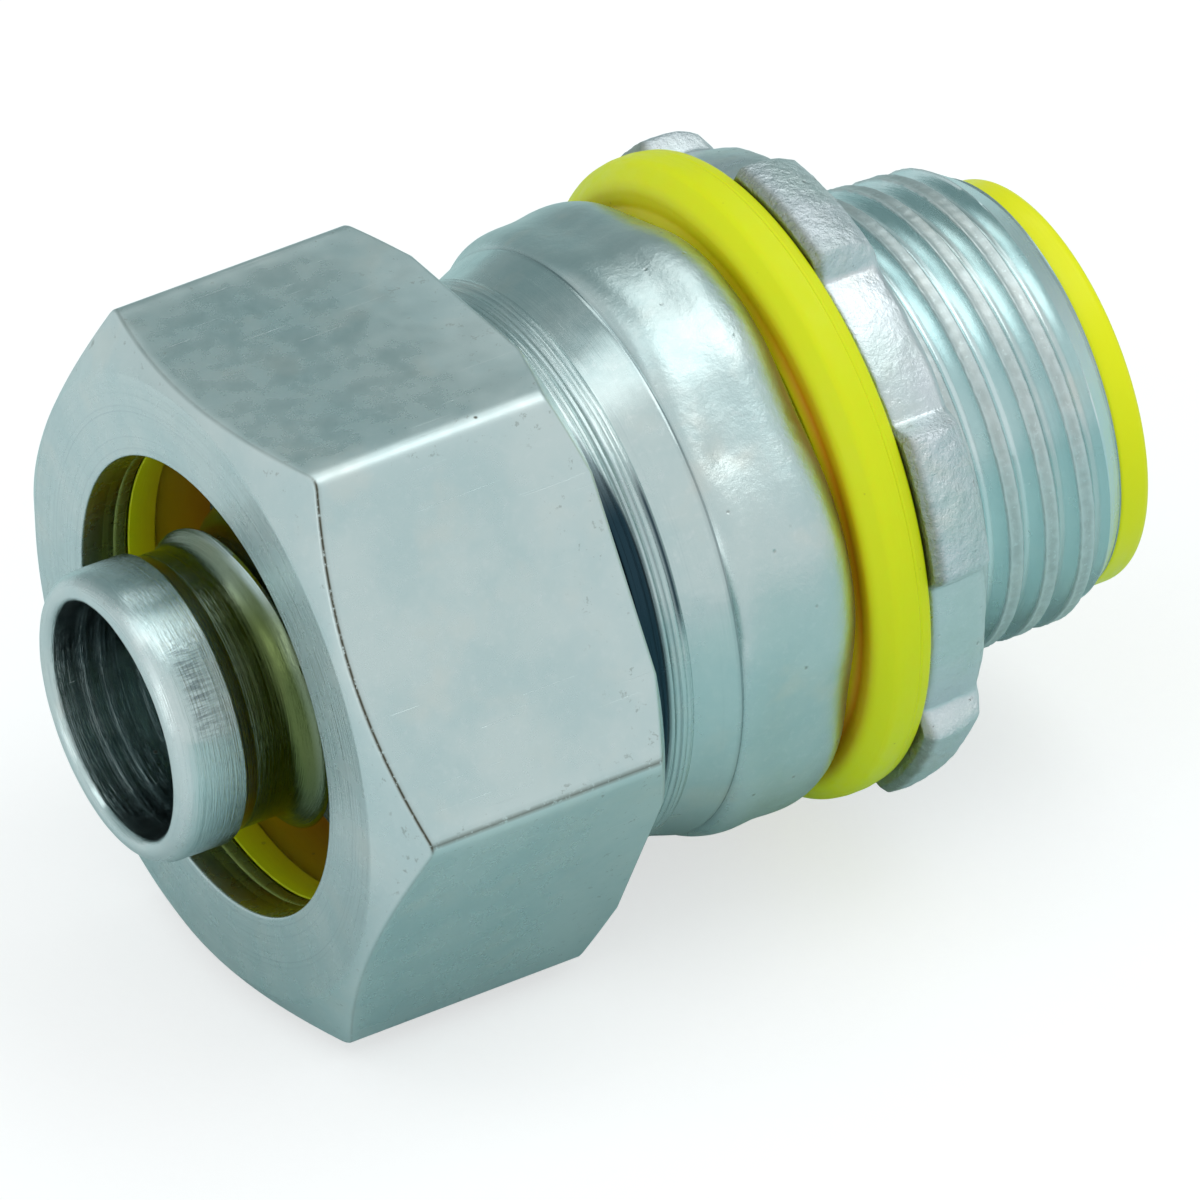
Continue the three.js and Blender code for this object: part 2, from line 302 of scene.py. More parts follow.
# ---------------------------------------------------------------- shader tools
class Shader:
    """A principled material, with short names for the nodes it is made of."""

    def __init__(self, name):
        self.material = bpy.data.materials.new(name)
        self.material.use_nodes = True
        self.tree = self.material.node_tree
        self.out = self.tree.nodes["Principled BSDF"]
        self.place = self.node("ShaderNodeTexCoord").outputs["Object"]

    def node(self, kind, **settings):
        made = self.tree.nodes.new(kind)
        for key, value in settings.items():
            setattr(made, key, value)
        return made

    def put(self, value, socket):
        if isinstance(value, bpy.types.NodeSocket):
            self.tree.links.new(value, socket)
        else:
            socket.default_value = value

    def math(self, operation, a, b=0.0, clamp=False):
        made = self.node("ShaderNodeMath", operation=operation, use_clamp=clamp)
        self.put(a, made.inputs[0])
        self.put(b, made.inputs[1])
        return made.outputs[0]

    def times(self, a, b):
        return self.math("MULTIPLY", a, b)

    def plus(self, a, b):
        return self.math("ADD", a, b)

    def minus(self, a, b):
        return self.math("SUBTRACT", a, b)

    def scaled(self, scale, turn=(0, 0, 0)):
        made = self.node("ShaderNodeMapping")
        self.put(self.place, made.inputs["Vector"])
        made.inputs["Scale"].default_value = scale
        made.inputs["Rotation"].default_value = [math.radians(t) for t in turn]
        return made.outputs[0]

    def turned(self, along, outwards):
        """A place that is the same all the way round the axis: distance along it, and from it."""
        split = self.node("ShaderNodeSeparateXYZ")
        self.put(self.place, split.inputs[0])
        square = self.plus(*(self.math("POWER", split.outputs[k], 2.0) for k in (1, 2)))
        join = self.node("ShaderNodeCombineXYZ")
        self.put(self.times(split.outputs[0], along), join.inputs[0])
        self.put(self.times(self.math("SQRT", square), outwards), join.inputs[1])
        return join.outputs[0]

    def noise(self, place, scale=1.0, detail=3.0, roughness=0.55):
        made = self.node("ShaderNodeTexNoise")
        self.put(place, made.inputs["Vector"])
        made.inputs["Scale"].default_value = scale
        made.inputs["Detail"].default_value = detail
        made.inputs["Roughness"].default_value = roughness
        return made.outputs["Fac"]

    def cells(self, place, scale=1.0, feature="F1"):
        made = self.node("ShaderNodeTexVoronoi", feature=feature)
        self.put(place, made.inputs["Vector"])
        made.inputs["Scale"].default_value = scale
        return made.outputs["Distance"]

    def attribute(self, name):
        return self.node("ShaderNodeAttribute", attribute_name=name).outputs["Fac"]

    def between(self, value, low, high, out_low=0.0, out_high=1.0):
        made = self.node("ShaderNodeMapRange", clamp=True, interpolation_type="SMOOTHSTEP")
        for at, v in enumerate((value, low, high, out_low, out_high)):
            self.put(v, made.inputs[at])
        return made.outputs[0]

    def mix(self, share, a, b, blend="MIX"):
        made = self.node("ShaderNodeMix", data_type="RGBA", blend_type=blend)
        self.put(share, made.inputs["Factor"])
        for value, socket in ((a, made.inputs[6]), (b, made.inputs[7])):
            self.put(value if isinstance(value, bpy.types.NodeSocket) else (*value, 1), socket)
        return made.outputs[2]

    def bump(self, height, distance, normal=None, strength=1.0):
        made = self.node("ShaderNodeBump")
        self.put(height, made.inputs["Height"])
        made.inputs["Distance"].default_value = distance
        made.inputs["Strength"].default_value = strength
        if normal is not None:
            self.put(normal, made.inputs["Normal"])
        return made.outputs[0]

    def finish(self, colour, roughness, normal, metallic=0.0, **fixed):
        self.put(colour, self.out.inputs["Base Color"])
        self.put(roughness, self.out.inputs["Roughness"])
        self.put(normal, self.out.inputs["Normal"])
        self.out.inputs["Metallic"].default_value = metallic
        for key, value in fixed.items():
            self.out.inputs[key.replace("_", " ")].default_value = value
        return self.material


# ---------------------------------------------------------------- materials
# Noise and cell scales are features per metre, and bump distances are metres.
ZINC = (0.60, 0.695, 0.685)
ZINC_COOL = (0.52, 0.645, 0.645)
ZINC_WARM = (0.68, 0.70, 0.65)
ZINC_LIGHT = (0.68, 0.73, 0.76)
SCUFF = (0.80, 0.84, 0.84)
LATHE_LINE = (0.33, 0.42, 0.45)
DIRT = (0.10, 0.085, 0.05)
OLIVE_REFLECTION = (0.09, 0.125, 0.022)  # painted reflection of the yellow pieces, darkened, on the ferrule's waist and the locknut
BORE_REFLECTION = (0.32, 0.38, 0.012)  # painted reflection of the compression ring in the nut's opening
NAVY = (0.022, 0.05, 0.068)  # deep shade between the nut and the neck
# painted sheen that lightens the nipple's thread grooves
GROOVE_SHEEN = (0.80, 0.95, 0.96)
LIME = (0.75, 0.80, 0.004)
RING_LIME = (0.88, 0.92, 0.005)
THROAT_LIME = (0.88, 0.88, 0.003)
# painted shade, darker and redder, for the recesses of the throat, the gasket and the compression ring
THROAT_SHADE = (0.5, 0.5, 0.005)
GASKET_SHADE = (0.60, 0.25, 0.002)
RING_SHADE = (0.62, 0.26, 0.003)
DUST = (0.13, 0.09, 0.02)

SCRATCH_LENGTH = 9.0
SCRATCH_WIDTH = 0.09
SCRATCH_WAYS = (  # direction in degrees, and how rare the scratches are
    ((0, 12, 84), 0.745), ((0, 35, -40), 0.745), ((50, -20, 65), 0.75),
)


def scratches(s, turn, rarity):
    """Long thin marks in one direction, 1 where there is one."""
    along, across = 1000 / SCRATCH_LENGTH, 1000 / SCRATCH_WIDTH
    streaks = s.noise(s.scaled((along, across, across), turn), 1.0, 2.0, 0.4)
    return s.between(streaks, rarity, rarity + 0.03)


def grime(s, edge, worn):
    """Specks of dirt, chips along worn edges and dirt that has settled in the seams."""
    speck = s.between(s.cells(s.place, 330), 0.02, 0.045, 1, 0)
    few = s.between(s.noise(s.place, 420, 2.0), 0.46, 0.56)
    specks = s.times(s.times(speck, few), 0.8)
    band = s.times(s.between(edge, 0.25, 0.6), s.between(edge, 0.75, 0.95, 1, 0))
    chipped = s.between(s.noise(s.place, 1900, 5.0, 0.75), 0.60, 0.66)
    chips = s.times(s.times(band, chipped), worn)
    broken = s.between(s.noise(s.place, 4200, 4.0, 0.7), 0.30, 0.46)
    seam = s.times(s.attribute("seam"), broken)
    return s.math("MAXIMUM", s.math("MAXIMUM", specks, seam), chips, clamp=True)


def zinc(name, rough, mottle, lines, grain, marks, worn, pits=0.0, film=OLIVE_REFLECTION, edge_mix=0.45,
         tint=ZINC_COOL):
    """Zinc plate on steel: mottled tint, scratches, lathe lines, forging pits, dirt and edges.

    mottle, lines, grain, marks, worn and pits say how strong each of them is, and film is the
    colour of a painted reflection of the yellow pieces beside a piece. The attributes also paint
    dark shade, and a sheen that lightens thread grooves.
    """
    s = Shader(name)
    broad = s.noise(s.place, 190, 4.0, 0.6)
    fine = s.noise(s.place, 2600, 4.0, 0.65)
    cloud = s.noise(s.place, 700, 5.0, 0.62)
    edge = s.attribute("edge")
    colour = s.mix(s.between(broad, 0.35, 0.65), tint, ZINC)
    warm = s.between(s.noise(s.place, 320, 3.0), 0.52, 0.75, 0, mottle)
    colour = s.mix(warm, colour, ZINC_WARM)
    colour = s.mix(s.times(s.between(fine, 0.5, 0.75), 0.35 * mottle), colour, SCUFF)
    roughness = s.between(cloud, 0.3, 0.7, rough - 0.03, rough + 0.06)
    height = s.times(cloud, grain)
    if marks:
        for turn, rarity in SCRATCH_WAYS:
            mark = s.times(scratches(s, turn, rarity), marks)
            colour = s.mix(s.times(mark, 0.7), colour, SCUFF)
            height = s.minus(height, s.times(mark, 0.25))
            roughness = s.plus(roughness, s.times(mark, 0.15))
    normal = s.bump(height, 0.00003)
    if lines:
        ring = s.noise(s.turned(6500, 6500), 1.0, 4.0, 0.75)
        mask = s.attribute("turned")
        normal = s.bump(s.times(s.minus(ring, 0.5), s.times(mask, lines)), 0.00008, normal)
        line = s.times(s.between(ring, 0.55, 0.62), s.times(mask, 0.35))
        colour = s.mix(line, colour, LATHE_LINE)
    if pits:
        cast = s.attribute("cast")
        hole = s.between(s.cells(s.place, 900), 0.0, 0.12, 1.0, 0.0)
        hole = s.times(s.times(hole, s.between(broad, 0.5, 0.6)), cast)
        lumps = s.times(s.noise(s.place, 1500, 5.0, 0.7), cast)
        normal = s.bump(s.minus(lumps, hole), 0.00012 * pits, normal)
        colour = s.mix(s.times(hole, 0.55), colour, DIRT)
        roughness = s.plus(roughness, s.times(cast, 0.10))
    # painted sheen in thread grooves
    colour = s.mix(s.attribute("pale"), colour, GROOVE_SHEEN)
    colour = s.mix(s.times(edge, edge_mix), colour, SCUFF)
    roughness = s.plus(roughness, s.times(edge, 0.16))
    streak = s.between(s.noise(s.scaled((800, 9000, 9000)), 1.0, 3.0, 0.6), 0.40, 0.62)
    rubbed = s.times(s.attribute("rubbed"), s.times(streak, 0.65))
    dirt = grime(s, edge, worn)
    colour = s.mix(rubbed, colour, NAVY)
    # painted reflection of the yellow pieces, then painted shade
    colour = s.mix(s.attribute("film"), colour, film)
    colour = s.mix(s.attribute("shade"), colour, NAVY)
    colour = s.mix(dirt, colour, DIRT)
    roughness = s.math("ADD", roughness, s.times(dirt, 0.4), clamp=True)
    return s.finish(colour, roughness, normal, metallic=1.0)


def yellow(name, lit, deep, rough, specks=0.7, soft=0.08):
    """Moulded yellow nylon or rubber, with dust specks and painted shade that makes its recesses
    darker and redder.
    """
    s = Shader(name)
    tone = s.noise(s.place, 240, 3.0)
    faded = (lit[0] * 0.93, lit[1] * 0.97, lit[2])
    colour = s.mix(s.between(tone, 0.35, 0.7, 0, 0.35), lit, faded)
    # painted shade in the recesses
    colour = s.mix(s.attribute("deep"), colour, deep)
    rub = s.noise(s.scaled((2400, 700, 700)), 1.0, 4.0, 0.6)
    spot = s.between(s.cells(s.place, 420), 0.03, 0.05, 1, 0)
    spot = s.times(spot, s.between(s.noise(s.place, 500, 2.0), 0.45, 0.55))
    colour = s.mix(s.times(spot, specks), colour, DUST)
    roughness = s.between(rub, 0.35, 0.7, rough - 0.06, rough + 0.12)
    mould = s.noise(s.turned(2600, 2600), 1.0, 2.0, 0.5)
    normal = s.bump(s.plus(s.times(rub, 0.5), s.times(mould, 0.5)), 0.00003)
    return s.finish(colour, roughness, normal, Subsurface_Weight=soft, Subsurface_Scale=0.0006,
                    Specular_IOR_Level=0.28)


nut_zinc = zinc("nut_zinc", rough=0.25, mottle=0.35, lines=0.5, grain=0.12, marks=0.7, worn=0.3,
                film=BORE_REFLECTION, edge_mix=0.2)
body_zinc = zinc("body_zinc", rough=0.22, mottle=0.6, lines=0.6, grain=0.2, marks=0, worn=0,
                 pits=0.3)
locknut_zinc = zinc("locknut_zinc", rough=0.26, mottle=0.7, lines=0.4, grain=0.7, marks=0.6,
                    worn=0.6, pits=1.8, tint=ZINC_LIGHT)
ferrule_zinc = zinc("ferrule_zinc", rough=0.18, mottle=0.5, lines=0.6, grain=0.15, marks=0.3,
                    worn=0.3)
gasket_rubber = yellow("gasket_rubber", LIME, GASKET_SHADE, 0.42, soft=0.25)
ring_nylon = yellow("ring_nylon", RING_LIME, RING_SHADE, 0.38, specks=0.3)
throat_nylon = yellow("throat_nylon", THROAT_LIME, THROAT_SHADE, 0.34, specks=0.4)


# ---------------------------------------------------------------- gland nut
NUT_CORNER = 0.75
NUT_FRONT_CIRCLE = 13.9  # where the front face meets its chamfer
NUT_FRONT_SLOPE = 1.85
NUT_CHAMFER_OFF = 0.24
NUT_CHAMFER_PHI = math.radians(65)
NUT_BACK_CIRCLE = 15.2
NUT_BACK_SLOPE = 1.6
NUT_BACK_BREAK = 0.16  # the back edge is broken all round
NUT_BORE = 12.08
NUT_SKIRT = 12.95
NUT_CAVITY = 11.75
GLAND_PITCH = 25.4 / 16
GLAND_ORIGIN = 4.8


def front_circle(phi):
    """The front chamfer is cut a little off centre."""
    return NUT_FRONT_CIRCLE + NUT_CHAMFER_OFF * (1 - np.cos(phi - NUT_CHAMFER_PHI))


def nut_edges(phi):
    outside = hex_radius(phi, NUT_FLAT, NUT_CORNER)
    front = (outside - front_circle(phi)) / NUT_FRONT_SLOPE
    chamfer = np.maximum(outside - NUT_BACK_CIRCLE, 0) / NUT_BACK_SLOPE
    back = NUT_LENGTH - NUT_BACK_BREAK - chamfer
    return outside, front, back


def gland_nut():
    phi = hex_columns(0.0)
    outside, front, back = nut_edges(phi)
    half = GLAND_PITCH / 2

    def groove_radius(u, depth):
        lead_in = NUT_BORE + (u - GLAND_END + 0.45) * 2
        return np.minimum(np.maximum(NUT_BORE + depth, lead_in), NUT_SKIRT)

    groove = thread_rows(
        phi, BODY_FRONT - 0.6, GLAND_END, GLAND_PITCH, GLAND_ORIGIN,
        [-half, -0.62, -0.52, -0.26, -0.16, 0.16, 0.26, 0.52, 0.62, half],
        [0, 0.02, 0.14, 0.70, 0.80, 0.80, 0.70, 0.14, 0.02, 0],
        groove_radius,
    )
    section = (
        Outline(phi)
        .corner(0, NUT_OPENING, 0.12)
        .point(0, NUT_FRONT_CIRCLE - 0.9)
        .corner(0, front_circle(phi), 0.25)
        .corner(front, outside, 0.3, 8)
        .point(front + 0.34, outside)  # these four rows keep the edge's wear to the edge
        .point(front + 0.5, outside)
        .point(front + (back - front) * 0.35, outside)
        .point(front + (back - front) * 0.65, outside)
        .corner(back, outside, 0.3)
        .corner(NUT_LENGTH, np.minimum(outside, NUT_BACK_CIRCLE) - 0.14, 0.12)
        .corner(NUT_LENGTH, NUT_SKIRT, 0.15)
        .point(GLAND_END + 0.02, NUT_SKIRT)
        .points(groove[::-1])
        .corner(BODY_FRONT - 0.9, NUT_CAVITY, 0.1)
        .corner(NUT_WALL + 1.4, NUT_CAVITY, 0.1)
        .corner(NUT_WALL, NUT_OPENING, 0.1)
        .point(NUT_WALL - 0.45, NUT_OPENING)
        .corner(NUT_WALL - 0.55, NUT_OPENING + 0.06, 0.03)
        .point(NUT_WALL - 0.65, NUT_OPENING)
        .corner(1.1, NUT_OPENING + 0.05, 0.03)
        .point(1.0, NUT_OPENING)
    )

    def masks(u, r, around):
        outside, front, back = nut_edges(around)
        off = np.abs(np.mod(around + math.pi / 6, math.pi / 3) - math.pi / 6)
        corner = hump((math.pi / 6 - off) * outside, 0, 0.8)
        rim = hump(u, front, 0.28) + hump(u, back, 0.3)
        skin = smooth(r, outside - 0.6, outside - 0.1)
        degrees = np.degrees(around)
        near_flat = smooth(degrees, 29, 31) * (1 - smooth(degrees, 89.5, 90.5))
        seam = hump(u, front + 0.08, 0.07) * (0.2 + 0.8 * near_flat)
        ridge = hump(np.radians(degrees - 89.2) * outside, 0, 0.09) * (u > front)
        # painted reflection of the compression ring: a yellow-green tint on the wall of the opening
        bore = smooth(u, 0.12, 0.3) * (1 - smooth(r, NUT_OPENING + 0.08, NUT_OPENING + 0.2))
        return {"edge": np.clip(np.maximum(corner, rim), 0, 1) * skin,
                "seam": np.clip(np.maximum(seam, 0.8 * ridge), 0, 1) * skin,
                "film": 0.8 * bore * (u < NUT_WALL + 0.2),
                "turned": 1 - smooth(r, 12.6, 13.8) * (u > 0.01)}

    return build("gland_nut_zinc", section, "gland_nut", "gland_nut", nut_zinc,
                 masks=masks)


# ---------------------------------------------------------------- compression ring
RING_FRONT = NUT_WALL + 0.2
RING_BACK = BODY_FRONT + 1.3
RING_INNER = 10.48
RING_OUTER = 11.6
RING_BORE = 10.75


def compression_ring():
    phi = even_columns(180)
    section = (
        Outline(phi)
        .corner(RING_FRONT + 0.05, RING_INNER, 0.1)
        .corner(RING_FRONT, RING_INNER + 0.07, 0.05)
        .corner(RING_FRONT + 1.25, RING_OUTER, 0.15)
        .corner(BODY_FRONT - 0.1, RING_OUTER, 0.15)
        .corner(RING_BACK, SOCKET - 0.12, 0.15)
        .corner(RING_BACK, RING_BORE, 0.1)
        .corner(RING_FRONT + 1.55, RING_BORE, 0.08)
        .corner(RING_FRONT + 1.35, RING_INNER, 0.1)
    )

    def masks(u, r, around):
        # painted shade: the ring's bore turns browner further in
        return {"deep": smooth(u, RING_FRONT + 0.3, RING_FRONT + 2.4)}

    return build("compression_ring_nylon", section, "compression_ring", "compression_ring",
                 ring_nylon, masks=masks)


# ---------------------------------------------------------------- ferrule
BEAD_PITCH = 3.2
BEAD_START = 1.25
BEAD_TURNS = 2.5
BEAD_ROWS = (-0.7, 9.6)  # where the rows that follow the bead begin and end
REFLECTION_END = 9.5


def ferrule():
    phi = even_columns(240)
    seat = FERRULE_PIVOT - 0.8
    tip = FERRULE_TIP
    half = BEAD_PITCH / 2

    def bead_radius(u, height):
        turn = (u - BEAD_START) / BEAD_PITCH
        ends = 1 - smooth(turn, BEAD_TURNS - 0.2, BEAD_TURNS + 0.2)
        return FERRULE_TUBE + height * smooth(turn, -0.25, 0.15) * ends

    bead = thread_rows(
        phi, *BEAD_ROWS, BEAD_PITCH, BEAD_START,
        [-half, -1.2, -0.9, -0.65, -0.45, -0.25, -0.1, 0.05, 0.2, 0.4, 0.6, 0.9, half],
        [0, 0.03, 0.12, 0.35, 0.62, 0.84, 0.95, 0.97, 0.88, 0.62, 0.3, 0.08, 0],
        bead_radius,
    )
    section = (
        Outline(phi)
        .arc(tip + 0.42, FERRULE_BORE + 0.42, 0.42, -180, -90, 7)
        .arc(tip + 1.0, FERRULE_NOSE - 0.75, 0.75, -88, 0, 12, squash=1.33)
        .point(tip + 1.6, FERRULE_NOSE)
        .corner(tip + 3.1, FERRULE_NOSE, 0.15)
        .corner(tip + 3.25, FERRULE_NOSE - 0.1, 0.06)
        .corner(tip + 3.8, FERRULE_TUBE, 0.2)
        .points(bead)
        .corner(seat - 0.5, FERRULE_TUBE, 0.2)
        .corner(seat, FERRULE_TUBE + 0.5, 0.2)
        .corner(seat, FERRULE_FLANGE, 0.15)
        .corner(seat + 1.2, FERRULE_FLANGE, 0.15)
        .corner(seat + 1.2, FERRULE_BORE + 0.7, 0.2)
        .corner(seat + 0.5, FERRULE_BORE, 0.2)
    )
    for u in np.arange(seat - 0.5, tip + 1.2, -0.16):
        ripple = 0.02 * math.sin(u * 3.1) * math.sin(u * 1.3) + 0.012 * math.sin(u * 7.7)
        section.point(u, FERRULE_BORE + 0.06 + ripple)

    def out_of_bore(r):
        return smooth(r, FERRULE_BORE + 0.25, FERRULE_BORE + 0.5)

    def bend(u, r, around):
        knock = fractal(u, r, around, 0.35, 3)
        return u, r + 0.035 * knock * smooth(np.abs(u - 12), 2, 4)

    def masks(u, r, around):
        outer = smooth(r, FERRULE_BORE + 0.4, FERRULE_NOSE - 0.2)
        rim = hump(u, tip + 0.25, 0.35) * outer
        degrees = wrapped_degrees(around)
        # painted reflection: the waist takes a dark olive tint for the yellow ring and the shade it
        # reflects, stronger towards the lower side; the bead's crest near the top is left bare where
        # its highlight shows
        crest = 0.9 * smooth(r, 6.8, 7.05) * (1 - 0.85 * smooth(degrees, 15, 45))
        waist = smooth(u, tip + 2.6, tip + 4.4) * (1 - smooth(u, REFLECTION_END - 1, REFLECTION_END))
        waist = waist * (1 - crest) * out_of_bore(r) * (0.72 + 0.23 * smooth(degrees, 10, 40))
        inside = smooth(u, tip + 0.35, tip + 1.2) * (1 - out_of_bore(r))
        rubbed = smooth(degrees, 28, 40) * (1 - smooth(degrees, 66, 76))
        rubbed = rubbed * smooth(u, tip + 1.3, tip + 1.7) * (1 - smooth(u, tip + 2.6, tip + 3.0))
        return {"edge": np.clip(rim, 0, 1) * 0.55, "turned": np.full(u.shape, 0.6),
                "film": waist, "shade": 0.3 * inside,
                "rubbed": rubbed * (r > FERRULE_NOSE - 0.3)}

    across = FERRULE_LEAN.normalized().cross(Vector((1, 0, 0))).normalized()
    tilt = (
        Matrix.Translation((FERRULE_PIVOT, 0, 0))
        @ Matrix.Rotation(FERRULE_TILT, 4, across)
        @ Matrix.Translation((-FERRULE_PIVOT, 0, 0))
    )
    return build("ferrule_zinc", section, "ferrule", "ferrule", ferrule_zinc,
                 bend=bend, masks=masks, tilt=tilt)


# ---------------------------------------------------------------- body
NIPPLE_PITCH = 25.4 / 14
NIPPLE_ORIGIN = 25.1
NIPPLE_CREST = 10.67
NIPPLE_CREST_AT = 30.0
NIPPLE_TAPER = 1 / 32
BODY_TURN = math.radians(45)  # of the body's flats against the nut's
BODY_CORNER_ROUND = 9.5
CONE_FOOT = 12.62
LIP = 19.05  # where the turned cone meets the forged hexagon
LIP_RADIUS = 13.35
REAR_LENGTH = 3.0
REAR_DROP = 1.35
GLAND_RUNOUT = 13.0  # the body's gland thread fades out here, inside the nut
GLAND_NOSE = 11.95  # radius of the gland thread's start
NECK_BULGE = 16.42  # a low ridge in front of the cone
FLANGE_SAG = 21.6  # the flange is a little hollow here
DIMPLE = (20.6, 47)  # u, and phi in degrees
NIPPLE_NOSE = 9.45  # radius of the nipple's end, before its chamfer
NECK_LINES = (
    # u, depth, half width
    (14.35, 0.05, 0.05), (14.80, 0.07, 0.05), (15.10, 0.03, 0.04), (15.42, 0.06, 0.05),
    (15.70, 0.10, 0.07), (15.95, 0.05, 0.04), (16.28, 0.05, 0.04), (16.55, 0.06, 0.05),
)


def nipple_crest(u):
    return NIPPLE_CREST - (u - NIPPLE_CREST_AT) * NIPPLE_TAPER


def body():
    phi = hex_columns(BODY_TURN, corner_share=0.7, flat_steps=14, corner_steps=24)
    half = GLAND_PITCH / 2

    def gland_radius(u, depth):
        fading = NECK + depth * smooth(GLAND_RUNOUT - u, 0, 0.4)
        return np.minimum(fading, GLAND_NOSE + (u - BODY_FRONT))

    gland = thread_rows(
        phi, BODY_FRONT + 0.2, GLAND_RUNOUT, GLAND_PITCH, GLAND_ORIGIN,
        [-half, -0.60, -0.48, -0.24, -0.14, 0.14, 0.24, 0.48, 0.60, half],
        [-0.85, -0.82, -0.66, -0.12, 0, 0, -0.12, -0.66, -0.82, -0.85],
        gland_radius,
    )
    neck = []
    for u in np.arange(GLAND_RUNOUT + 0.1, CONE_START - 0.01, 0.045):
        r = NECK - sum(d * math.exp(-(((u - c) / w) ** 2)) for c, d, w in NECK_LINES)
        r += 0.16 * math.sqrt(max(0.0, 1 - ((u - NECK_BULGE) / 0.5) ** 2))
        neck.append((u, r))
    outside = hex_radius(phi, BODY_FLAT, BODY_CORNER_ROUND, BODY_TURN)
    cone_length = LIP - 0.05 - CONE_START
    cone = [(CONE_START + cone_length * t, CONE_FOOT + (LIP_RADIUS - CONE_FOOT) * t)
            for t in np.linspace(0.02, 0.97, 14)]
    flange = []
    for u in np.linspace(LIP + 0.04, HEX_END, 64):
        rear = np.clip((u - (HEX_END - REAR_LENGTH)) / REAR_LENGTH, 0, 1)
        drop = REAR_DROP * (1 - np.sqrt(np.maximum(1 - rear**2.2, 0)))
        nose = (outside - LIP_RADIUS) * np.exp(-(u - LIP) / 0.7) + 0.1 * np.exp(-(u - LIP) / 0.2)
        flange.append((u, outside - drop - nose - 0.17 * hump(u, FLANGE_SAG, 1.3)))
    half_pitch = NIPPLE_PITCH / 2
    nipple = thread_rows(
        phi, HEX_END + 0.05, NIPPLE_END - 0.02, NIPPLE_PITCH, NIPPLE_ORIGIN,
        [-half_pitch, -0.76, -0.64, -0.54, -0.46, -0.40, -0.35, -0.29, -0.2, -0.08,
         0.08, 0.2, 0.29, 0.35, 0.40, 0.46, 0.54, 0.64, 0.76, half_pitch],
        [-0.90, -0.86, -0.74, -0.54, -0.33, -0.15, -0.035, 0.0, -0.035, -0.05,
         -0.05, -0.035, 0.0, -0.035, -0.15, -0.33, -0.54, -0.74, -0.86, -0.90],
        lambda u, d: np.minimum(nipple_crest(u) + d, NIPPLE_NOSE + (NIPPLE_END - u) * 0.65),
    )
    section = (
        Outline(phi)
        .corner(BODY_FRONT, 11.72, 0.1)
        .corner(BODY_FRONT, GLAND_NOSE, 0.1)
        .points(gland)
        .points(neck)
        .points(cone)
        .point(LIP - 0.05, LIP_RADIUS - 0.03)
        .points(flange)
        .corner(HEX_END, 12.1, 0.15)
        .corner(HEX_END, 10.95, 0.05)
        .points(nipple)
        .corner(NIPPLE_END, 9.5, 0.08)
        .corner(NIPPLE_END, WIREWAY, 0.08)
        .corner(SOCKET_END + 0.8, WIREWAY, 0.2)
        .corner(SOCKET_END, SOCKET, 0.2)
        .corner(BODY_FRONT + 1.3, SOCKET, 0.2)
    )

    def cast_share(u, r, around):
        return smooth(u, LIP, LIP + 0.5) * (1 - smooth(u, HEX_END - 0.3, HEX_END)) * (r > 11.8)

    def bend(u, r, around):
        cast = cast_share(u, r, around)
        rough = 0.035 * fractal(u, r, around, 0.22, 2) + 0.005 * fractal(u, r, around, 1.5, 4)
        dent = hump(u, DIMPLE[0], 0.75) * hump(np.degrees(around), DIMPLE[1], 3.6)
        pitted = 0.02 * fractal(u, r, around, 3.0, 3)
        crest = nipple_crest(u)
        on_crest = smooth(r, crest - 0.1, crest - 0.04) * (u > HEX_END) * (r > 9.8)
        torn = 0.012 * fractal(u, r, around, 2.2, 4)
        wave = 0.012 * fractal(u * 3, r, around, 0.5, 2) * (u > CONE_START) * (u < LIP)
        return u, r + cast * (rough - 0.12 * dent) + on_crest * (pitted + torn) + wave

    def masks(u, r, around):
        crest = nipple_crest(u)
        top = smooth(r, crest - 0.12, crest - 0.02) * (u > HEX_END) * (r > 9.6)
        degrees = wrapped_degrees(around)
        facing = smooth(degrees, 30, 52) * (1 - smooth(degrees, 100, 135))
        band_end = NUT_LENGTH + 0.25 + 1.5 * smooth(degrees, -5, 60)
        band = (1 - smooth(u, band_end - 0.1, band_end + 0.12)) * (u > NUT_LENGTH - 0.3)
        band = band * (0.55 + 0.45 * facing) * (1 - smooth(degrees, 110, 150))
        cut = 0.5 * hump(u, 15.78, 0.06) + 0.4 * hump(u, 16.2, 0.06)
        part = smooth(degrees, 38, 50) * (1 - smooth(degrees, 70, 80))
        cut = np.maximum(cut, 1.05 * part * hump(u, 16.7, 0.14))
        neck = np.maximum(band, cut * (0.1 + 0.85 * facing)) * (r > 12) * (u < CONE_START)
        line = hump(u, LIP - 0.03, 0.07)
        turned = (1 - 0.75 * smooth(u, CONE_START - 0.2, CONE_START + 0.2)) * (u < LIP)
        # painted sheen: the nipple's thread grooves are lightened, but not the crests
        return {"edge": np.clip(top * 0.9, 0, 1) * (r > 9),
                "turned": turned + 0.25 * (u > HEX_END),
                "pale": 0.5 * (1 - top) * (u > HEX_END + 0.1) * (r > 9.6),
                "cast": np.clip(cast_share(u, r, around), 0, 1) + 0.45 * top,
                "seam": 0.3 * hump(r, crest - 0.07, 0.035) * (u > HEX_END + 0.3),
                "shade": np.clip(np.maximum(neck, 0.55 * line * (r > 13)), 0, 1)}

    return build("body_zinc", section, "body", "body", body_zinc,
                 bend=bend, masks=masks)


# ---------------------------------------------------------------- sealing gasket
GASKET_INNER = 11.3
GASKET_HANG = 0.12  # how far it hangs off the nipple's centre


